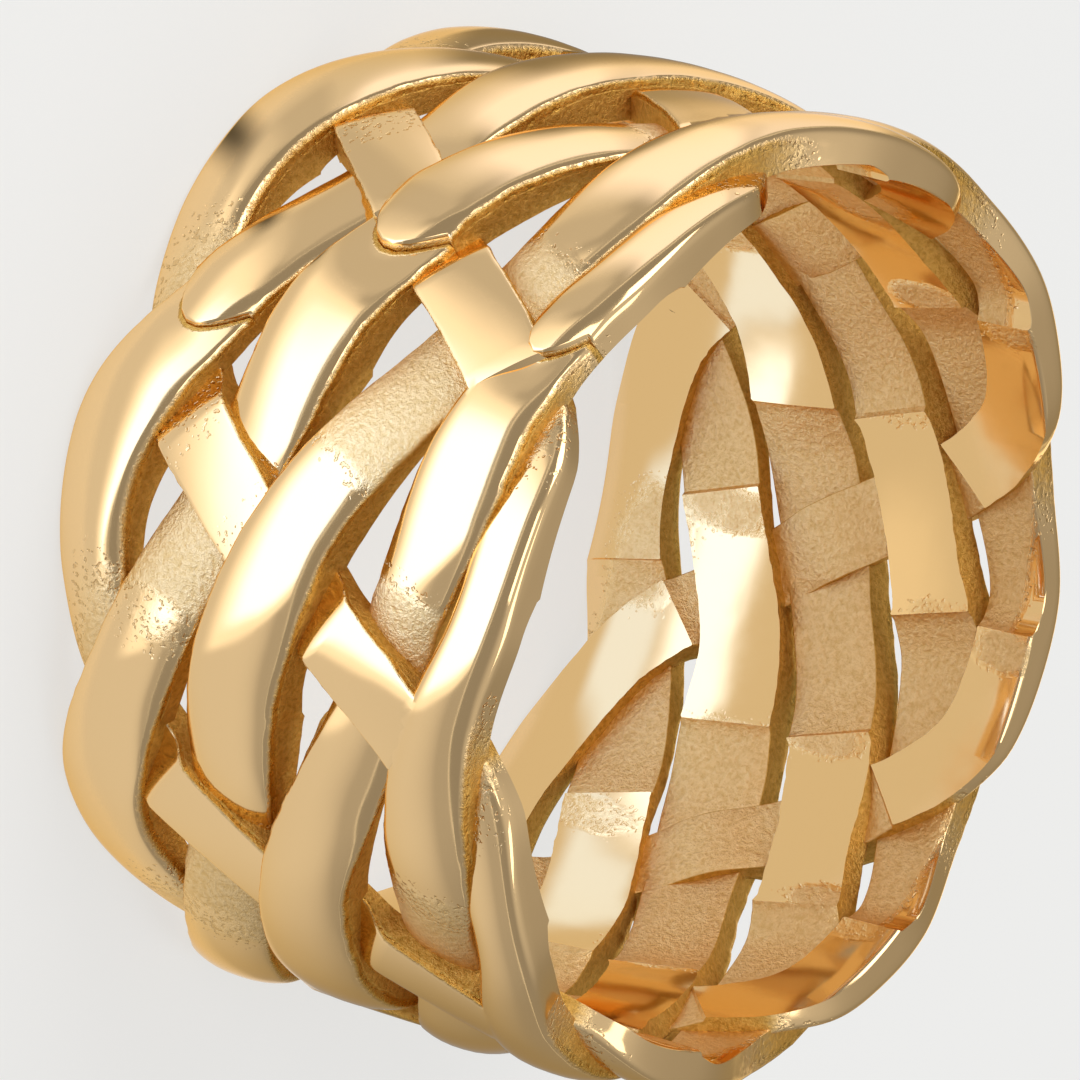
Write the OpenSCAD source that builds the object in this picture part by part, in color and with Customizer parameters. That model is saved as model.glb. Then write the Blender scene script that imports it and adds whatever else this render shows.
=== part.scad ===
// Woven ring: a wide openwork band of eight flat ribbon strands plaited round
// the finger and cast as one solid.
//
// Axes: +Z is the axis of the finger hole.  The ring lies on its side, so the
// lower rim touches z = 0 and the upper rim is at z = band_width.
// Origin: on the axis, at the level of the lower rim.
// Angles grow anticlockwise seen from above.  All lengths are in mm.
//
// Each strand runs down the band on a long flat slope, turns at the lower rim,
// climbs back steeply, turns at the upper rim and is then in the place of the
// strand six steps further round.  It passes over and under its neighbours in
// turn, so it swings out and in between the finger side and the outer side.

/* [Band] */

// Diameter over the highest points of the weave
outer_diameter = 21.0;   // [17:0.1:28]
// Diameter of the finger hole
inner_diameter = 18.2;   // [14:0.1:24]
// Width of the band from rim to rim
band_width = 11.6;       // [6:0.1:16]

/* [Strands] */

// Factor on the width of every strand
strand_width_scale = 1;  // [0.7:0.05:1.2]
// How far the middle of a strand's outer face stands above its edges
strand_crown = 0.2;      // [0:0.01:0.3]
// Depth of metal of a strand where it passes over another
strand_depth = 1.15;     // [0.6:0.05:1.3]
// How deep a strand dives below the outer diameter where it passes under
weave_depth = 0.79;      // [0.3:0.01:1]
// Straight steps between two rows of the route table
steps_per_row = 2;       // [1:1:3]

/* [Hidden] */

strand_count = 8;
turn_step = 360 / strand_count;      // angle between neighbouring strands
route_turn = 6 * turn_step;          // angle that one strand covers
outer_radius = outer_diameter / 2;
inner_radius = inner_diameter / 2;
bore_allowance = 0.08;               // metal left inside the hole for boring it
bore_overrun = 1;                    // how far the boring runs past each rim

// Route of one strand.  Columns:
//   ANGLE    degrees round the ring
//   RISE     height from the middle of the band, as a share of half its width
//   BREADTH  strand width, as a share of the outer radius
//   OUT      1 where the outer face is at the outer diameter, 0 at its deepest
//   IN       1 where the finger side stands off the hole, 0 where it is bored
//   LEAN     how far the finger side lies down the band from the outer face,
//            as a share of the outer radius
ANGLE = 0; RISE = 1; BREADTH = 2; OUT = 3; IN = 4; LEAN = 5;
route = [
  // steep climb: under, over, under, over, under
  [ -98, -0.65, 0.165, 0.00, 0.0, 0.000],
  [ -88, -0.32, 0.165, 0.85, 1.0, 0.000],
  [ -79,  0.02, 0.165, 0.00, 0.0, 0.000],
  [ -70,  0.41, 0.165, 0.85, 1.0, 0.000],
  [ -61,  0.73, 0.160, 0.05, 0.0, 0.000],
  // turn at the upper rim
  [ -54,  0.85, 0.150, 0.20, 0.0, 0.000],
  [ -45,  0.88, 0.140, 0.45, 0.0, 0.000],
  [ -34,  0.86, 0.132, 0.70, 0.8, 0.000],
  // long slope down: over, under, over, under, over
  [ -23,  0.76, 0.150, 0.85, 0.9, 0.000],
  [ -12,  0.69, 0.185, 0.90, 1.0, 0.000],
  [   0,  0.62, 0.195, 0.65, 0.8, 0.005],
  [  12,  0.51, 0.168, 0.20, 0.0, 0.035],
  [  24,  0.405, 0.178, 0.08, 0.0, 0.040],
  [  36,  0.27, 0.185, 0.65, 0.0, 0.022],
  [  48,  0.08, 0.190, 0.95, 0.8, 0.000],
  [  60, -0.05, 0.210, 1.00, 1.0, 0.000],
  [  72, -0.15, 0.210, 0.90, 0.5, 0.000],
  [  84, -0.22, 0.190, 0.55, 0.0, 0.000],
  [  96, -0.37, 0.185, 0.00, 0.0, 0.000],
  [ 108, -0.51, 0.190, 0.40, 0.0, 0.000],
  [ 120, -0.65, 0.190, 0.80, 0.9, 0.000],
  [ 132, -0.80, 0.195, 0.80, 0.8, 0.000],
  // turn at the lower rim
  [ 143, -0.87, 0.175, 0.50, 0.0, 0.000],
  [ 154, -0.84, 0.160, 0.20, 0.0, 0.000],
  [ 164, -0.77, 0.160, 0.00, 0.0, 0.000]
];
rows = len(route);

// Cross-section of a strand: place across it, and share of the crown lost.
// The sides draft outwards to the finger side, as the gaps are cast.
SIDE = 0; DROP = 1;
outer_face = [[-0.5, 1], [-0.22, 0], [0.22, 0], [0.5, 1]];
inner_face = [[0.54, 0], [0, 0], [-0.54, 0]];
ring_points = len(outer_face) + len(inner_face);

function route_row(i) =
  let (q = floor(i / rows), r = route[i - rows * q])
  [r[ANGLE] + route_turn * q, r[RISE], r[BREADTH], r[OUT], r[IN], r[LEAN]];

// smooth curve through the rows
function blend4(a, b, c, d, t) =
  0.5 * (2 * b + (c - a) * t + (2 * a - 5 * b + 4 * c - d) * t * t
         + (3 * b - a - 3 * c + d) * t * t * t);
function route_at(i, t) =
  blend4(route_row(i - 1), route_row(i), route_row(i + 1), route_row(i + 2), t);
function station(n) =
  let (i = floor(n / steps_per_row)) route_at(i, (n - i * steps_per_row) / steps_per_row);

function share(x) = max(0, min(1, x));
function out_radius(s) = outer_radius - weave_depth * (1 - share(s[OUT]));
function in_radius(s) =
  let (bored = inner_radius - bore_allowance)
  bored + (outer_radius - strand_depth - bored) * share(s[IN]);

// direction of travel on the unrolled band: [along the ring, up the band]
function heading(n) =
  let (a = station(n - 1), b = station(n + 1),
       u = (b[ANGLE] - a[ANGLE]) * PI / 180 * outer_radius,
       v = (b[RISE] - a[RISE]) * band_width / 2,
       l = norm([u, v]))
  [u / l, v / l];

// the rims are ground level, which gives each lobe a small flat
function limit_rise(z) = max(0, min(band_width, z));

// strands that join end to end share the same points there
function snap(p) = [for (v = p) round(v * 10000) / 10000];

// section n of the strand that starts turn degrees round
function section(n, turn) =
  let (s = station(n), h = heading(n), ro = out_radius(s), ri = in_radius(s),
       half = s[BREADTH] * outer_radius * strand_width_scale,
       zc = band_width / 2 * (1 + s[RISE]))
  concat(
    [for (p = outer_face)
      let (a = turn + s[ANGLE] - h[1] * p[SIDE] * half / ro * 180 / PI,
           r = ro - strand_crown * p[DROP])
      snap([r * cos(a), r * sin(a), limit_rise(zc + h[0] * p[SIDE] * half)])],
    [for (p = inner_face)
      let (across = p[SIDE] * half - s[LEAN] * outer_radius,
           a = turn + s[ANGLE] - h[1] * across / ro * 180 / PI)
      snap([ri * cos(a), ri * sin(a), limit_rise(zc + h[0] * across)])]);

last_station = rows * steps_per_row;

strand_faces = concat(
  [for (j = [1:ring_points - 2]) [0, j + 1, j]],
  [for (n = [0:last_station - 1], j = [0:ring_points - 1])
    let (k = (j + 1) % ring_points, a = n * ring_points, b = a + ring_points)
    each [[a + j, b + k, b + j], [a + j, a + k, b + k]]],
  [for (j = [1:ring_points - 2], e = [last_station * ring_points]) [e, e + j, e + j + 1]]);

module strand(turn) {
  polyhedron(points = [for (n = [0:last_station]) each section(n, turn)],
             faces = strand_faces, convexity = 8);
}

module plait() {
  resize([0, 0, 0])
  union() {
    for (i = [0:strand_count - 1]) strand(i * turn_step);
  }
}

module woven_band() {
  color([0.83, 0.66, 0.38])
  difference() {
    plait();
    translate([0, 0, -bore_overrun])
      cylinder(r = inner_radius, h = band_width + 2 * bore_overrun, $fn = 180);
  }
}

woven_band();
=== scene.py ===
"""Woven ring: the looks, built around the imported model.

The strands follow the same route table as the CAD model.  They are swept here
with a finer, rounded section, joined into one solid, bored, and given a cast
and polished gold finish.  Lengths in the tables are millimetres or shares of
the ring's own size; the scene is in metres.
"""

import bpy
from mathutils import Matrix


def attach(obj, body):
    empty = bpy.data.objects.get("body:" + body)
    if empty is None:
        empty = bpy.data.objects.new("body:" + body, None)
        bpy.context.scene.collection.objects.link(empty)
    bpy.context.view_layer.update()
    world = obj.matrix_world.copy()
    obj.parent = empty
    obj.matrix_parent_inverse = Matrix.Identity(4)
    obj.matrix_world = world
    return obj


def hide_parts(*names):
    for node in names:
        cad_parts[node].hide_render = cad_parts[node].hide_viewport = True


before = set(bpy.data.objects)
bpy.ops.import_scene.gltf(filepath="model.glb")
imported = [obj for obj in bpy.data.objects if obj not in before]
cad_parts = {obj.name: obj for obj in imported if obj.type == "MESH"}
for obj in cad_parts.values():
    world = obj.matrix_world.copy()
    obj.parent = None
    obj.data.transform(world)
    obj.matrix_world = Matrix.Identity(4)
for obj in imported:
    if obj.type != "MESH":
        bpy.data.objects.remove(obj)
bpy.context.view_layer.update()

import math

import bmesh
import bpy
import numpy as np
from mathutils import Matrix, Vector, noise

MM = 0.001
scene = bpy.context.scene

# ---------------------------------------------------------------- camera ----
OUTER_R = 10.5          # mm, crest of the weave
BORE_R = 9.1            # mm, finger hole
BAND_W = 11.6           # mm, rim to rim
ELEVATION = math.radians(34.306)   # of the camera over the ring's plane
ROLL = math.radians(-105.556)      # the ring's axis runs across the picture
DISTANCE = 21.43 * OUTER_R * MM
PX_PER_R = 507.03                  # picture scale at the ring, 1080 px frame
CENTRE_PX = (570.61, 555.30)       # where the ring's centre lies in the frame

back = Vector((math.cos(ELEVATION), 0, math.sin(ELEVATION)))
side0 = Vector((0, 1, 0))
up0 = Vector((-math.sin(ELEVATION), 0, math.cos(ELEVATION)))
right = math.cos(ROLL) * side0 - math.sin(ROLL) * up0
up = math.sin(ROLL) * side0 + math.cos(ROLL) * up0
ring_centre = Vector((0, 0, BAND_W / 2 * MM))
per_px = OUTER_R * MM / PX_PER_R

cam_data = bpy.data.cameras.new("camera")
cam = bpy.data.objects.new("camera", cam_data)
scene.collection.objects.link(cam)
scene.camera = cam
cam_data.sensor_width = 36
cam_data.lens = 36 * PX_PER_R * 21.43 / 1080
cam_data.clip_start, cam_data.clip_end = 0.02, 20
cam.matrix_world = Matrix.Translation(
    ring_centre + back * DISTANCE
    - right * (CENTRE_PX[0] - 540) * per_px
    + up * (CENTRE_PX[1] - 540) * per_px
) @ Matrix((right, up, back)).transposed().to_4x4()

# ----------------------------------------------------------- strand route ----
STRANDS = 8
TURN = 45.0                 # degrees between strands
ROUTE_TURN = 270.0          # degrees that one strand covers
CROWN = 0.21                # mm, rise of the middle of an outer face
DEPTH = 1.08                # mm of metal where a strand passes over
DIVE = 0.79                 # mm that a strand drops where it passes under
BORE_ALLOWANCE = 0.3        # mm of metal left inside the hole for boring it
DRAFT = 1.03                # finger side's width over the outer face's width
CLIMB_LOW, CLIMB_HIGH = 0.50, 0.80   # how far out a steep piece lies at its lower and upper end

# angle, rise (share of half the width), breadth (share of the outer radius),
# out (1 at the outer diameter), in (0 where the finger side is bored),
# lean (how far the finger side lies down the band, share of the outer radius)
ROUTE = [
    # steep climb: under, over, under, over, under
    (-98, -0.65, 0.165, 0.00, 0.0, 0),
    (-88, -0.32, 0.165, 1.00, 1.0, 0),
    (-79, 0.02, 0.165, 0.00, 0.5, 0),
    (-70, 0.41, 0.165, 1.00, 1.0, 0),
    (-61, 0.73, 0.160, 0.05, 0.0, 0),
    # turn at the upper rim
    (-54, 0.85, 0.150, 0.20, 0.0, 0),
    (-45, 0.88, 0.140, 0.45, 0.0, 0),
    (-34, 0.86, 0.132, 0.70, 0.85, 0),
    # long slope down: over, under, over, under, over
    (-23, 0.76, 0.150, 0.85, 0.95, 0),
    (-12, 0.69, 0.185, 0.90, 1.0, 0),
    (0, 0.62, 0.195, 0.65, 0.8, 0.005),
    (12, 0.51, 0.168, 0.20, 0.0, 0.035),
    (24, 0.405, 0.178, 0.08, 0.0, 0.040),
    (36, 0.27, 0.185, 0.66, 0.62, 0.022),
    (48, 0.08, 0.190, 0.95, 0.7, 0),
    (60, -0.05, 0.210, 1.00, 1.0, 0),
    (72, -0.15, 0.210, 0.92, 0.5, 0),
    (84, -0.22, 0.190, 0.55, 0.0, 0),
    (96, -0.37, 0.185, 0.02, 0.0, 0),
    (108, -0.51, 0.190, 0.40, 0.62, 0),
    (120, -0.65, 0.190, 0.80, 0.9, 0),
    (132, -0.80, 0.195, 0.80, 0.7, 0),
    # turn at the lower rim
    (143, -0.87, 0.175, 0.50, 0.0, 0),
    (154, -0.84, 0.160, 0.20, 0.0, 0),
    (164, -0.77, 0.160, 0.00, 0.0, 0),
]
STATIONS = 310


def closed_spline(t, y, period):
    """Second derivatives of the smooth closed curve through y at t."""
    n = len(t)
    h = np.append(t[1:], t[0] + period) - t
    a = np.zeros((n, n))
    b = np.zeros(n)
    for i in range(n):
        p, q = (i - 1) % n, (i + 1) % n
        a[i, p] += h[p]
        a[i, i] += 2 * (h[p] + h[i])
        a[i, q] += h[i]
        b[i] = 6 * ((y[q] - y[i]) / h[i] - (y[i] - y[p]) / h[p])
    return np.linalg.solve(a, b), h


def sample(t, y, period, at):
    m, h = closed_spline(t, y, period)
    at = (at - t[0]) % period + t[0]
    i = np.clip(np.searchsorted(t, at, side="right") - 1, 0, len(t) - 1)
    j = (i + 1) % len(t)
    u, w = at - t[i], h[i]
    v = w - u
    return (m[i] * v ** 3 / (6 * w) + m[j] * u ** 3 / (6 * w)
            + (y[i] / w - m[i] * w / 6) * v + (y[j] / w - m[j] * w / 6) * u)


route = np.array(ROUTE, float)
ang, rise = route[:, 0], route[:, 1]
nxt_a, nxt_r = np.append(ang[1:], ang[0] + ROUTE_TURN), np.append(rise[1:], rise[0])
steps = np.hypot(np.radians(nxt_a - ang) * OUTER_R, (nxt_r - rise) * BAND_W / 2)
t_row = np.concatenate([[0.0], np.cumsum(steps)[:-1]])
PATH = float(steps.sum())
t_at = np.arange(STATIONS + 1) / STATIONS * PATH


def along(values, at):
    return sample(t_row, values, PATH, at)


def angle_along(at):
    return along(ang - ROUTE_TURN * t_row / PATH, at) + ROUTE_TURN * at / PATH


def smooth(v, lo, hi):
    t = np.clip((v - lo) / (hi - lo), 0, 1)
    return t * t * (3 - 2 * t)


def climb(th):
    """1 on the steep climb, 0 on the long slope."""
    return smooth(th, -104, -99) * (1 - smooth(th, -64, -58)) + smooth(th, 167, 171)


def frame_at(at):
    """Angle, height, width, outer radius, finger-side radius, heading, level."""
    e = 0.05
    th, z = angle_along(at), along(rise, at) * BAND_W / 2
    du = np.radians(angle_along(at + e) - angle_along(at - e)) * OUTER_R
    dv = (along(rise, at + e) - along(rise, at - e)) * BAND_W / 2
    length = np.hypot(du, dv)
    out = np.clip(along(route[:, 3], at), -0.02, 1.01)
    # the climbs are flat pieces with short ramps hidden under the slopes
    c = climb(th)
    entering = smooth(th, -79.5, -78.5) * (1 - smooth(th, -71, -69)) + (1 - smooth(th, -89, -87))
    flat_out = entering * smooth(out, 0.12, 0.60) + (1 - entering) * smooth(out, 0.02, 0.24)
    piece = np.where(th < -79, (th + 98) / 19, (th + 79) / 18)
    flat_out = flat_out * (CLIMB_LOW + (CLIMB_HIGH - CLIMB_LOW) * np.clip(piece, 0, 1))
    out = out * (1 - c) + flat_out * c
    inn = smooth(along(route[:, 4], at), 0.30, 0.85)
    bored = BORE_R - BORE_ALLOWANCE
    ro = OUTER_R - DIVE * (1 - out)
    # a finger side is either bored or stands clear of the hole, with a short
    # step between, so that the boring ends in a clean line
    ri = BORE_R + 0.05 + (OUTER_R - DEPTH - BORE_R - 0.05) * np.clip(inn, 0, 1)
    ri = np.where(inn < 0.12, bored + (ri - bored) * np.clip(inn / 0.12, 0, 1), ri)
    return th, z, along(route[:, 2], at) * OUTER_R, ro, ri, du / length, dv / length, out, c


def soft_rim(z):
    """Keeps heights between the rims, easing in over the last bit."""
    lim, ease = BAND_W / 2, 0.22
    over = np.abs(z) - (lim - ease)
    eased = lim - ease + ease * np.tanh(np.maximum(over, 0) / ease)
    return np.where(over > 0, np.sign(z) * eased, z)


EDGE = 0.14      # mm, rounding of the polished edges
EDGE_CLIMB = 0.06
EDGE_RIM = 0.24
OUT_T = (0.0, 0.28, 0.54, 0.76, 0.92, 1.0)
ROUND_DEG = (20, 42, 64, 84)
WALL_T = (0.2, 0.4, 0.6, 0.8, 0.97)
IN_T = (0.96, 0.5, 0.0)
FACE, ROUND, WALL, FINGER = 0, 1, 2, 3

# one side of the section, from the middle of the outer face to the middle of
# the finger side, then the whole ring of points
half_ring = ([(FACE, t) for t in OUT_T] + [(ROUND, d) for d in ROUND_DEG]
             + [(WALL, t) for t in WALL_T] + [(FINGER, t) for t in IN_T])
ring_cols = [(-1, k, v) for k, v in half_ring[::-1]] + [(1, k, v) for k, v in half_ring[1:-1]]
side, kind, place = (np.array(c, float)[None, :] for c in zip(*ring_cols))
RING = len(ring_cols)


def section(w, depth, edge, crown):
    """Distance across and depth below the crest of each point of the ring."""
    half = w / 2
    shape = lambda x: crown * np.abs(x / half) ** 2.4
    # the rounding starts at the slope that the crown has there
    start = np.arctan(2.4 * crown / half * np.clip(1 - 0.6 * edge / half, 0, 1) ** 1.4)
    flat = half - edge * (1 - np.sin(start))
    base = shape(flat)
    top = base + edge * np.cos(start)
    rad = start + (np.pi / 2 - start) * place / 90
    a = np.select([kind == FACE, kind == ROUND, kind == WALL],
                  [flat * place, flat + edge * (np.sin(rad) - np.sin(start)), half * (1 + (DRAFT - 1) * place)],
                  half * DRAFT * place)
    d = np.select([kind == FACE, kind == ROUND, kind == WALL],
                  [shape(flat * place), base + edge * (np.cos(start) - np.cos(rad)), top + (depth - top) * place],
                  depth + 0 * w)
    return side * a, d


# how far each stretch was left as cast, where it differs from the rule that
# only low stretches are: (strand, from angle, to angle, amount)
FINISH = [
    (7, 29, 42, 0.9), (0, 18, 46, -1.0), (0, 102, 124, 0.8), (6, 101, 114, 0.42), (5, 84, 116, -1.0),
    (7, 101, 114, 0.6), (2, -97, -91, 0.35), (1, -97, -90, 0.45), (2, -85, -81, 0.35),
    (4, 29, 40, 0.7), (3, 101, 114, 0.7), (2, 29, 38, 0.5), (1, 100, 112, 0.6),
    (1, 0, 14, 0.6),
]
# places where a slope ends in a rounded nose and goes on a step lower:
# (strand, angle, depth of the step in mm, how far the nose's middle reaches)
NOSES = [(6, 58.5, 0.36, 0.45), (5, 119.5, 0.24, 0.30), (0, -23.0, 0.30, 0.40)]
NOSE_ROLL, NOSE_EDGE, NOSE_RISE = 1.1, 0.10, 2.3    # mm, length of the nose, its edge and the rise after it


def stations_for(k):
    """Path positions of the stations; they crowd together at a nose."""
    for strand, at, _, _ in NOSES:
        if strand == k:
            fine = np.linspace(0, PATH, 4001)
            t0 = float(np.interp(at, angle_along(fine), fine))
            dens = 1 + 3.0 * np.exp(-((fine - t0) / 0.9) ** 2) + 6.0 * np.exp(-((fine - t0) / 0.2) ** 2)
            cum = np.concatenate([[0], np.cumsum((dens[1:] + dens[:-1]) / 2)])
            t = np.interp(np.linspace(0, cum[-1], STATIONS + 1), cum, fine)
            i = int(np.argmin(np.abs(t - t0)))
            t[i], t[i + 1] = t0, t0 + 0.02
            return t, t0
    return t_at, None


def strand_points(turn):
    """Ring points of one strand in mm (stations by ring by xyz), with how much
    of each is as cast and how much of it is a wall of a gap or the crease
    under a nose, which is given a rough finish and a painted shade."""
    k = int(round(turn / TURN))
    t, t0 = stations_for(k)
    tt = t[:, None] + 0 * side
    step, crease = 0 * tt, 0 * tt
    if t0 is not None:
        _, _, deep, reach = next(n for n in NOSES if n[0] == k)
        u = t[:, None] - t0
        share = np.where(kind == FACE, place, 1.0)
        tt = tt + (reach - 0.95 * share ** 2) * np.exp(-(u / 1.15) ** 2)
        low = 0.92 * deep * (1 - smooth(u, 0, NOSE_RISE))
        top = 0.30 * deep * np.clip((u + NOSE_ROLL) / NOSE_ROLL, 0, 1) ** 2
        e = np.clip((u + NOSE_EDGE) / NOSE_EDGE, 0, 1)
        top = top + 0.7 * deep * (1 - np.sqrt(np.clip(1 - e ** 2, 0, 1)))
        step = np.where(u <= 0.001, top, low) * np.where(kind == WALL, 1 - place, np.where(kind == FINGER, 0, 1))
        # the crease under a nose is given painted shade along with the gap walls
        crease = np.where(u <= 0.001, e ** 3, 1 - smooth(u, 0.05, 0.24)) + 0 * side
    th, z, w, ro, ri, hx, hz, level, steep = frame_at(tt)
    near_rim = smooth(np.abs(z), BAND_W / 2 - 1.6, BAND_W / 2 - 0.9)
    edge = EDGE + (EDGE_CLIMB - EDGE) * steep + (EDGE_RIM - EDGE) * near_rim * (1 - steep)
    across, below = section(w, ro - ri, edge, CROWN * (1 - 0.8 * steep))
    across = across - along(route[:, 5], tt) * OUTER_R * np.select([kind == WALL, kind == FINGER], [place, 1.0], 0.0)
    below = below + step
    wall = np.select([kind == ROUND, kind == WALL], [0.1 + 0.5 * place / 84, 1.0], 0.0) + 0 * tt

    a = np.radians(turn + th) - hz * across / ro
    r = ro - below
    zz = z + hx * across
    rim = np.clip((np.abs(zz) - (BAND_W / 2 - 0.9)) / 0.6, 0, 1)
    # cast walls are rough: their points wander across the strand; the polished
    # faces are only faintly uneven
    px, py = r * np.cos(a), r * np.sin(a)
    amp = 0.07 * wall * (1 - rim) * (1 - 0.6 * near_rim) * np.where(kind == WALL, 1 - 0.85 * place, 1)
    shift, wave = np.zeros_like(amp), np.zeros_like(amp)
    for i, j in np.ndindex(amp.shape):
        q = Vector((px[i, j], py[i, j], zz[i, j]))
        if amp[i, j] > 1e-6:
            shift[i, j] = amp[i, j] * (noise.noise(q * 2.1) + 0.7 * noise.noise(q * 5.3 + Vector((7, 3, 1))))
        wave[i, j] = 0.014 * noise.noise(q * 0.75)
    acr = across + shift
    a = np.radians(turn + th) - hz * acr / ro
    r = r + wave
    zz = soft_rim(z + hx * acr) + BAND_W / 2
    out = np.stack([r * np.cos(a), r * np.sin(a), zz], -1)

    cast = (1 - smooth(level, 0.14, 0.46)) * (1 - 0.9 * steep)
    cast = cast * (1 - 0.4 * near_rim)
    for strand, lo, hi, amount in FINISH:
        if strand == k:
            cast = cast + amount * smooth(th, lo - 3, lo + 3) * (1 - smooth(th, hi - 3, hi + 3))
    cast = np.where(kind >= WALL, 1.0, np.clip(cast, 0, 1))
    # walls of the gaps and the crease under a nose: this mask gives them a rough cast finish and a painted shade in
    # the material
    wall_and_shade_mask = np.where(kind == FINGER, 0.0, np.maximum(np.clip(wall * 1.6, 0, 1) * (1 - rim), crease))
    cast = np.where(kind < WALL, cast * (1 - rim * 0.6), cast * (1 - rim))
    return out, cast, wall_and_shade_mask


made = [strand_points(k * TURN) for k in range(STRANDS)]
for i in range(3):                # strands that join end to end share a section
    for k in range(STRANDS):
        made[k][i][-1] = made[(k + 6) % STRANDS][i][0]
pts, casts, walls = zip(*made)

quads = []
for n in range(STATIONS):
    for j in range(RING):
        k = (j + 1) % RING
        quads.append((n * RING + j, n * RING + k, (n + 1) * RING + k, (n + 1) * RING + j))
last = STATIONS * RING
caps = [(0, j + 1, j) for j in range(1, RING - 1)] + [(last, last + j, last + j + 1) for j in range(1, RING - 1)]


def strand_object(k):
    me = bpy.data.meshes.new("strand_%d" % k)
    faces = [q[::-1] for q in quads] + [c[::-1] for c in caps]
    me.from_pydata((pts[k].reshape(-1, 3) * MM).tolist(), [], faces)
    corners = [v for f in faces for v in f]
    for name, values in (("cast", casts[k]), ("wall_and_shade_mask", walls[k])):
        at = me.attributes.new(name, "FLOAT", "CORNER")
        at.data.foreach_set("value", values.reshape(-1)[corners].astype(np.float32))
    me.update()
    ob = bpy.data.objects.new("strand_%d" % k, me)
    scene.collection.objects.link(ob)
    return ob


def combine(base, other, how):
    mod = base.modifiers.new("join", "BOOLEAN")
    mod.operation = how
    mod.solver = "MANIFOLD"
    mod.object = other
    dg = bpy.context.evaluated_depsgraph_get()
    me = bpy.data.meshes.new_from_object(base.evaluated_get(dg))
    base.modifiers.clear()
    old = base.data
    base.data = me
    bpy.data.meshes.remove(old)
    bpy.data.objects.remove(other, do_unlink=True)


band = strand_object(0)
for k in range(1, STRANDS):
    combine(band, strand_object(k), "UNION")

# bore the finger hole, its two mouths softened
SEG = 540
# stretches of the bored faces that stayed as cast:
# (angle, height in mm, half the angle, half the height, amount)
BORE_FINISH = [
    (-106, 8.6, 7, 1.2, 0.7), (-176, 1.6, 9, 1.0, 0.7),
]
# the boring fades into the cast faces at its ends, more on some strands
for k in range(STRANDS):
    more = 0.62 + 0.16 * math.cos(2.4 * k)
    for deg, h, da, dh in ((101, 3.3, 3.4, 1.3), (70, 5.0, 3.0, 1.2), (32, 7.3, 3.4, 1.2), (6, 9.3, 2.8, 1.0), (-41, 10.8, 3.0, 0.8)):
        turned = deg + (2.4 * math.sin(3.1 * k + deg))
        BORE_FINISH.append((k * TURN + turned, h + 0.25 * math.sin(1.7 * k + h), da, dh, more))


def bore_cast(deg, h):
    """How much of the bored face is as cast at an angle and a height."""
    v = 0.0
    for a0, h0, da, dh, amount in BORE_FINISH:
        off = (deg - a0 + 180) % 360 - 180
        far = math.hypot(off / da, (h - h0) / dh)
        v = max(v, amount * min(1.0, max(0.0, 1.45 - far) / 0.7))
    return v


MOUTH = 0.17
prof = [(-1.0, MOUTH)]
for t in range(0, 91, 18):
    prof.append((MOUTH * (1 - math.cos(math.radians(t))), MOUTH * (1 - math.sin(math.radians(t)))))
prof += [(float(h), 0.0) for h in np.linspace(0.6, BAND_W - 0.6, 25)]
for t in range(90, -1, -18):
    prof.append((BAND_W - MOUTH * (1 - math.cos(math.radians(t))), MOUTH * (1 - math.sin(math.radians(t)))))
prof.append((BAND_W + 1.0, MOUTH))
cyl_v, cyl_f = [], []
for h, wider in prof:
    q = (BORE_R + wider) * MM
    cyl_v += [(q * math.cos(2 * math.pi * i / SEG), q * math.sin(2 * math.pi * i / SEG), h * MM) for i in range(SEG)]
for l in range(len(prof) - 1):
    for i in range(SEG):
        j = (i + 1) % SEG
        cyl_f.append((l * SEG + i, l * SEG + j, (l + 1) * SEG + j, (l + 1) * SEG + i))
cyl_f.append(tuple(range(SEG))[::-1])
cyl_f.append(tuple((len(prof) - 1) * SEG + i for i in range(SEG)))
cme = bpy.data.meshes.new("bore")
cme.from_pydata(cyl_v, [], cyl_f)
bore_values = [bore_cast(360 * i / SEG, h) for h, _ in prof for i in range(SEG)]
cme.attributes.new("wall_and_shade_mask", "FLOAT", "CORNER")
cme.attributes.new("cast", "FLOAT", "CORNER").data.foreach_set(
    "value", [bore_values[v] for f in cyl_f for v in f])
cob = bpy.data.objects.new("bore", cme)
scene.collection.objects.link(cob)
combine(band, cob, "DIFFERENCE")

# drop crumbs that the cutting left
bm = bmesh.new()
bm.from_mesh(band.data)
seen, crumbs = set(), []
for v0 in bm.verts:
    if v0 in seen:
        continue
    shell, todo = [], [v0]
    seen.add(v0)
    while todo:
        v = todo.pop()
        shell.append(v)
        for e in v.link_edges:
            o = e.other_vert(v)
            if o not in seen:
                seen.add(o)
                todo.append(o)
    if len(shell) < 500:
        crumbs += shell
bmesh.ops.delete(bm, geom=crumbs, context="VERTS")
bm.to_mesh(band.data)
bm.free()

band.name = band.data.name = "woven_band_gold"
me = band.data
print("band faces", len(me.polygons), "verts", len(me.vertices), "triangles", sum(len(p.vertices) - 2 for p in me.polygons))
for p in me.polygons:
    p.use_smooth = True
me.set_sharp_from_angle(angle=math.radians(34))


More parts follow.
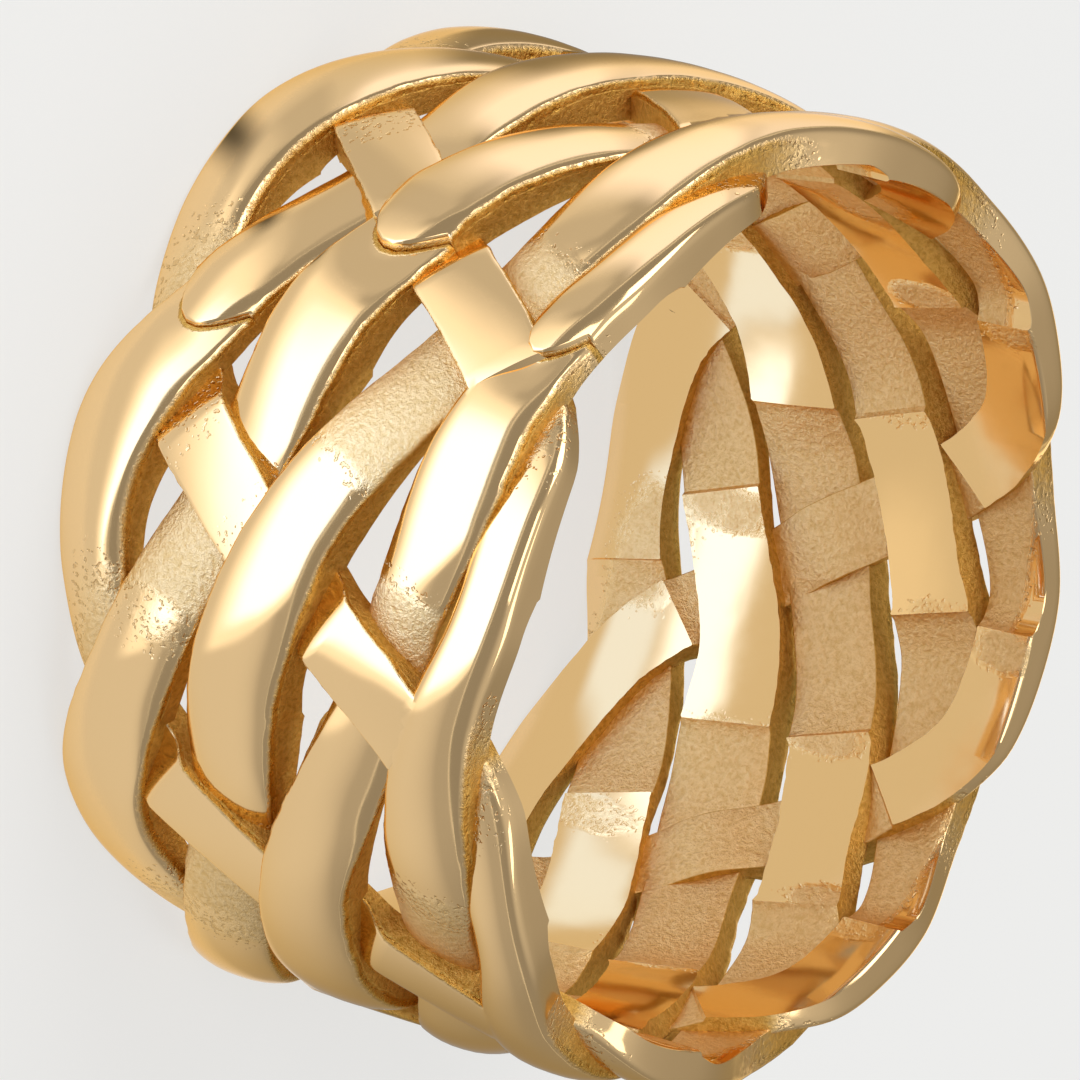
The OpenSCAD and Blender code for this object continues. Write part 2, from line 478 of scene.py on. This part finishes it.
# ---------------------------------------------------------------- gold ----
def gold_material():
    mat = bpy.data.materials.new("gold")
    mat.use_nodes = True
    nt = mat.node_tree
    nt.nodes.clear()
    N, L = nt.nodes.new, nt.links.new

    def math_node(op, a, b=None, c=None):
        m = N("ShaderNodeMath")
        m.operation = op
        for i, v in enumerate((a, b, c)):
            if v is None:
                continue
            if hasattr(v, "links"):
                L(v, m.inputs[i])
            else:
                m.inputs[i].default_value = v
        return m.outputs[0]

    def ramp(v, lo, hi):
        m = N("ShaderNodeMapRange")
        m.interpolation_type = "SMOOTHSTEP"
        L(v, m.inputs["Value"])
        m.inputs["From Min"].default_value = lo
        m.inputs["From Max"].default_value = hi
        return m.outputs["Result"]

    def noise_tex(vec, scale, detail=2.0, rough=0.5):
        n = N("ShaderNodeTexNoise")
        L(vec, n.inputs["Vector"])
        n.inputs["Scale"].default_value = scale
        n.inputs["Detail"].default_value = detail
        n.inputs["Roughness"].default_value = rough
        return n.outputs["Fac"]

    def attribute(name):
        n = N("ShaderNodeAttribute")
        n.attribute_type = "GEOMETRY"
        n.attribute_name = name
        return n.outputs["Fac"]

    def mix_rgb(fac, a, b):
        m = N("ShaderNodeMix")
        m.data_type = "RGBA"
        L(fac, m.inputs["Factor"])
        for key, v in (("A", a), ("B", b)):
            if hasattr(v, "links"):
                L(v, m.inputs[key])
            else:
                m.inputs[key].default_value = (*v, 1)
        return m.outputs["Result"]

    tc = N("ShaderNodeTexCoord")
    mm = N("ShaderNodeVectorMath")
    mm.operation = "SCALE"
    L(tc.outputs["Object"], mm.inputs[0])
    mm.inputs["Scale"].default_value = 1000.0
    pos = mm.outputs["Vector"]

    wander = noise_tex(pos, 1.7, 3.0)        # bays and tongues of the finish
    grain = noise_tex(pos, 8.5, 4.0, 0.68)   # sandblasted relief
    pocks = noise_tex(pos, 8.5, 1.5, 0.45)   # single pits

    cast = attribute("cast")
    wall = attribute("wall_and_shade_mask")
    # ragged borders: the polish ends in thinning pits, not in a line
    cast = math_node("ADD", cast, math_node("MULTIPLY", math_node("SUBTRACT", wander, 0.5), 0.40))
    blasted = ramp(cast, 0.30, 0.85)
    pitted = math_node("SUBTRACT", pocks, math_node("MULTIPLY", ramp(cast, 0.10, 0.7), 0.12))
    pit_and_shade = math_node("MULTIPLY", math_node("SUBTRACT", 1.0, ramp(pitted, 0.27, 0.36)), ramp(cast, 0.14, 0.3))
    pit_and_shade = math_node("MULTIPLY", pit_and_shade, math_node("SUBTRACT", 1.0, ramp(cast, 0.42, 0.72)))
    # fewer and shallower ones in the finger hole, where the boring took them off
    sep = N("ShaderNodeSeparateXYZ")
    L(pos, sep.inputs[0])
    radius = math_node("SQRT", math_node("ADD", math_node("MULTIPLY", sep.outputs[0], sep.outputs[0]),
                                         math_node("MULTIPLY", sep.outputs[1], sep.outputs[1])))
    pit_and_shade = math_node("MULTIPLY", pit_and_shade, math_node("ADD", 0.3, math_node("MULTIPLY", ramp(radius, BORE_R + 0.03, BORE_R + 0.3), 0.7)))
    rough_wall_and_shade = ramp(math_node("ADD", wall, math_node("MULTIPLY", math_node("SUBTRACT", grain, 0.5), 0.7)), 0.35, 0.85)

    swell = noise_tex(pos, 0.8, 1.0, 0.4)    # faint unevenness of the polish
    height = math_node("SUBTRACT", math_node("MULTIPLY", grain, math_node("MAXIMUM", blasted, math_node("MULTIPLY", rough_wall_and_shade, 0.7))),
                       math_node("MULTIPLY", pit_and_shade, 0.34))
    height = math_node("ADD", height, math_node("MULTIPLY", swell, 0.15))
    bump = N("ShaderNodeBump")
    bump.inputs["Strength"].default_value = 1.0
    bump.inputs["Distance"].default_value = 0.000052
    L(height, bump.inputs["Height"])

    b = N("ShaderNodeBsdfPrincipled")
    b.inputs["Metallic"].default_value = 1.0
    b.inputs["Specular Tint"].default_value = (0.97, 0.76, 0.46, 1)
    L(bump.outputs["Normal"], b.inputs["Normal"])

    rough = math_node("ADD", math_node("MULTIPLY", noise_tex(pos, 3.0, 2.0), 0.05), 0.07)
    rough = math_node("ADD", rough, math_node("MULTIPLY", blasted, 0.28))
    rough = math_node("ADD", rough, math_node("MULTIPLY", rough_wall_and_shade, 0.18))
    L(rough, b.inputs["Roughness"])

    hollow_shade = math_node("SUBTRACT", 1.0, ramp(grain, 0.25, 0.66))
    colour = mix_rgb(blasted, (0.95, 0.66, 0.335), (0.96, 0.71, 0.38))
    # painted shade: the hollows of the sandblasted grain are coloured darker
    colour = mix_rgb(math_node("MULTIPLY", hollow_shade, blasted), colour, (0.79, 0.53, 0.22))
    # painted shade: the pits are coloured darker, besides being dented by the bump
    colour = mix_rgb(math_node("MULTIPLY", pit_and_shade, 0.6), colour, (0.66, 0.43, 0.19))
    # painted shade: the gap walls and the creases under the noses are coloured dark brown, darker still in the
    # grain's hollows
    colour = mix_rgb(rough_wall_and_shade, colour, mix_rgb(hollow_shade, (0.73, 0.43, 0.11), (0.51, 0.27, 0.045)))
    L(colour, b.inputs["Base Color"])

    out = N("ShaderNodeOutputMaterial")
    L(b.outputs[0], out.inputs["Surface"])
    return mat


gold = gold_material()
me.materials.clear()
me.materials.append(gold)
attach(band, "root")
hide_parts("woven_band")

# ---------------------------------------------------------------- floor ----
TABLE = 0.62     # light from below the table
HORIZON, ZENITH = 0.32, 0.62      # even light of the room, low down and overhead
fme = bpy.data.meshes.new("floor")
S = 3.0
fme.from_pydata([(-S, -S, 0), (S, -S, 0), (S, S, 0), (-S, S, 0)], [], [(0, 1, 2, 3)])
floor = bpy.data.objects.new("floor", fme)
scene.collection.objects.link(floor)
fmat = bpy.data.materials.new("floor")
fmat.use_nodes = True
fb = fmat.node_tree.nodes["Principled BSDF"]
fb.inputs["Base Color"].default_value = (0.26, 0.26, 0.257, 1)
fb.inputs["Roughness"].default_value = 0.95
fb.inputs["Specular IOR Level"].default_value = 0.0
# a white acrylic table, lit from below as well
fb.inputs["Emission Color"].default_value = (1.0, 1.0, 0.985, 1)
fb.inputs["Emission Strength"].default_value = TABLE
fme.materials.append(fmat)

# --------------------------------------------------------------- lights ----
world = bpy.data.worlds.new("studio")
scene.world = world
world.use_nodes = True
wt = world.node_tree
wc = wt.nodes.new("ShaderNodeTexCoord")
ws = wt.nodes.new("ShaderNodeSeparateXYZ")
wm = wt.nodes.new("ShaderNodeMapRange")
wm.interpolation_type = "SMOOTHSTEP"
wt.links.new(wc.outputs["Generated"], ws.inputs[0])
wt.links.new(ws.outputs[2], wm.inputs["Value"])
wm.inputs["From Min"].default_value, wm.inputs["From Max"].default_value = 0.3, 1.0
wm.inputs["To Min"].default_value, wm.inputs["To Max"].default_value = HORIZON, ZENITH
wt.nodes["Background"].inputs["Color"].default_value = (1, 1, 1, 1)
wt.links.new(wm.outputs["Result"], wt.nodes["Background"].inputs["Strength"])


def softbox(name, direction, distance, size, radiance):
    """Area light in the given direction from the ring, facing it."""
    d = Vector(direction).normalized()
    ld = bpy.data.lights.new(name, "AREA")
    ld.shape = "RECTANGLE"
    ld.size, ld.size_y = size
    ld.energy = radiance * math.pi * size[0] * size[1]
    ob = bpy.data.objects.new(name, ld)
    ob.location = ring_centre + d * distance
    ob.rotation_mode = "QUATERNION"
    ob.rotation_quaternion = d.to_track_quat("Z", "Y")
    scene.collection.objects.link(ob)
    return ob


def card(name, height, turn, radius, radiance, tint=(1, 1, 1)):
    """Glowing sheet lying on the table beside the ring, a painted reflection
    that stands for a reflector, or for a flag where it is dim: a sector between
    two angles and two radii (mm), each with a soft edge.  Only the polished
    metal sees it."""
    (a0, a1, soft0, soft1), (r0, r1, rsoft0, rsoft1) = turn, radius
    n = 64
    me = bpy.data.meshes.new(name)
    v = []
    for i in range(n + 1):
        a = math.radians(a0 + (a1 - a0) * i / n)
        v += [(r0 * MM * math.cos(a), r0 * MM * math.sin(a), height * MM),
              (r1 * MM * math.cos(a), r1 * MM * math.sin(a), height * MM)]
    me.from_pydata(v, [], [(2 * i, 2 * i + 1, 2 * i + 3, 2 * i + 2) for i in range(n)])
    ob = bpy.data.objects.new(name, me)
    scene.collection.objects.link(ob)
    mat = bpy.data.materials.new(name)
    mat.use_nodes = True
    nt = mat.node_tree
    nt.nodes.clear()
    N, L = nt.nodes.new, nt.links.new

    def m(op, *args):
        q = N("ShaderNodeMath")
        q.operation = op
        for i, x in enumerate(args):
            if hasattr(x, "links"):
                L(x, q.inputs[i])
            else:
                q.inputs[i].default_value = x
        return q.outputs[0]

    def edge(x, lo, hi):
        q = N("ShaderNodeMapRange")
        q.interpolation_type = "SMOOTHSTEP"
        L(x, q.inputs["Value"])
        q.inputs["From Min"].default_value = lo
        q.inputs["From Max"].default_value = hi
        return q.outputs["Result"]

    tc = N("ShaderNodeTexCoord")
    sep = N("ShaderNodeSeparateXYZ")
    L(tc.outputs["Object"], sep.inputs[0])
    x, y, _ = sep.outputs
    mid = math.radians((a0 + a1) / 2)          # angle from the sector's middle
    across_ = m("SUBTRACT", m("MULTIPLY", y, math.cos(mid)), m("MULTIPLY", x, math.sin(mid)))
    ahead = m("ADD", m("MULTIPLY", x, math.cos(mid)), m("MULTIPLY", y, math.sin(mid)))
    off = m("ARCTAN2", across_, ahead)
    half = math.radians((a1 - a0) / 2)
    rr = m("SQRT", m("ADD", m("MULTIPLY", x, x), m("MULTIPLY", y, y)))
    show = m("MULTIPLY",
             m("MULTIPLY", edge(off, -half, -half + math.radians(soft0)), m("SUBTRACT", 1.0, edge(off, half - math.radians(soft1), half))),
             m("MULTIPLY", edge(rr, r0 * MM, (r0 + rsoft0) * MM), m("SUBTRACT", 1.0, edge(rr, (r1 - rsoft1) * MM, r1 * MM))))
    em = N("ShaderNodeEmission")
    em.inputs["Color"].default_value = (*tint, 1)
    em.inputs["Strength"].default_value = radiance
    tr = N("ShaderNodeBsdfTransparent")
    mx = N("ShaderNodeMixShader")
    L(show, mx.inputs[0])
    L(tr.outputs[0], mx.inputs[1])
    L(em.outputs[0], mx.inputs[2])
    out = N("ShaderNodeOutputMaterial")
    L(mx.outputs[0], out.inputs["Surface"])
    mat.cycles.emission_sampling = "NONE"
    me.materials.append(mat)
    for ray in ("camera", "diffuse", "shadow", "transmission", "volume_scatter"):
        setattr(ob, "visible_" + ray, False)
    return ob


softbox("key", (0.25, -0.85, 0.75), 0.6, (0.42, 0.42), 2.6)
softbox("front", (0.9, -0.1, 0.7), 0.7, (0.3, 0.3), 2.0)
softbox("top", (-0.2, 0.2, 1.0), 0.8, (0.4, 0.4), 1.6)
COOL = (0.80, 1.0, 1.42)
# glowing sheets that paint the reflections in the gold: bright ones as reflectors, dim ones as flags
card("table_card", 0.02, (-180, 180, 0.001, 0.001), (10.8, 300, 0.5, 1), 0.74)
card("table_far", 0.04, (-180, 180, 0.001, 0.001), (17.0, 300, 26, 1), 0.46)
card("far_flag", 0.06, (60, 168, 60, 10), (11.0, 300, 1, 1), 0.34)
card("front_card", 0.08, (-44, 29, 12, 2.5), (12.0, 120, 2.0, 1), 1.25)
card("front_core", 0.10, (-34, 26, 24, 4), (13.0, 120, 4.0, 1), 2.1, COOL)
card("flag", 0.08, (-60, -42, 6, 6), (11.0, 60, 1.0, 20), 0.60)
CHAMPAGNE = (0.98, 1.0, 1.17)
card("left_card", 0.08, (-106, -58, 10, 12), (11.5, 120, 8, 1), 1.27, CHAMPAGNE)
card("left_low", 0.07, (-140, -96, 12, 12), (14.0, 120, 8, 1), 1.05, CHAMPAGNE)
card("outline_flag", 0.09, (-156, -74, 14, 16), (10.4, 21, 0.3, 8), 0.30)
card("streak", 0.12, (-46, -34, 6, 6), (9.5, 12.5, 0.2, 2.4), 0.12)
card("back_card", 0.10, (-200, -158, 10, 8), (16.0, 120, 6, 1), 1.4)
WARM = (1.0, 0.94, 0.80)
card("inner_card", 0.04, (-180, 180, 0.001, 0.001), (0.0, 8.9, 0.001, 0.5), 0.72, WARM)
card("inner_spot", 0.05, (-30, 100, 40, 40), (0.5, 7.0, 2.0, 3.0), 0.90, WARM)
card("inner_low", 0.07, (162, 194, 7, 5), (5.4, 7.8, 0.6, 0.5), 1.2, COOL)
card("inner_glow", 0.06, (156, 204, 9, 9), (2.2, 5.8, 1.0, 1.1), 1.9, COOL)

scene.view_settings.view_transform = "Standard"
